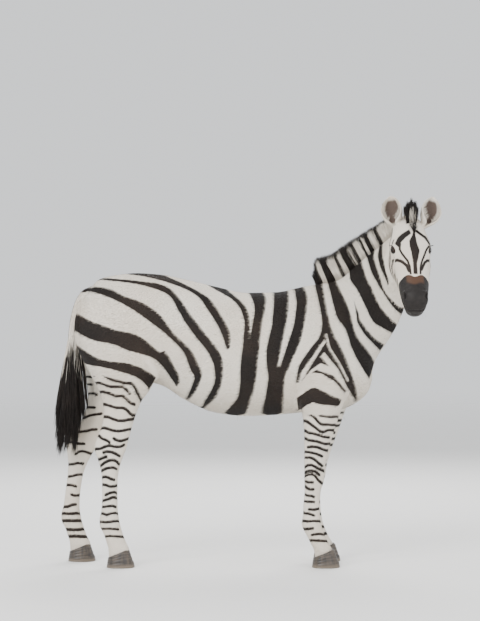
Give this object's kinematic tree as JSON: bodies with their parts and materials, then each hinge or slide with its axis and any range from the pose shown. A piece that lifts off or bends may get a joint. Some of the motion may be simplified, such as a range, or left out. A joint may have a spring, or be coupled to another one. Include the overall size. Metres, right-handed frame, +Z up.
{
  "type": "zebra",
  "caption": "Life-size still model of a standing plains zebra, head turned to its right, with an upright mane and a tasselled tail.",
  "frame": {"origin": "middle of the floor that the animal covers, at the level of its soles", "axes": "+X the way the body faces, +Y to its left, +Z up"},
  "size_m": [1.7696, 0.7724, 1.6955],
  "materials": {
    "coat": "short flat fur in black and cream stripes",
    "hair": "long coarse hair, cream above and black below",
    "eye": "wet and glossy, dark brown",
    "hoof": "dark horn with fine growth rings"
  },
  "bodies": {
    "root": {"torso": "coat", "neck": "coat", "head": "coat", "ear_left": "coat", "ear_right": "coat", "foreleg_left": "coat", "foreleg_right": "coat", "hindleg_left": "coat", "hindleg_right": "coat", "tail": "hair", "eye_left": "eye", "eye_right": "eye", "hoof_fore_left": "hoof", "hoof_fore_right": "hoof", "hoof_hind_left": "hoof", "hoof_hind_right": "hoof"}
  },
  "joints": []
}
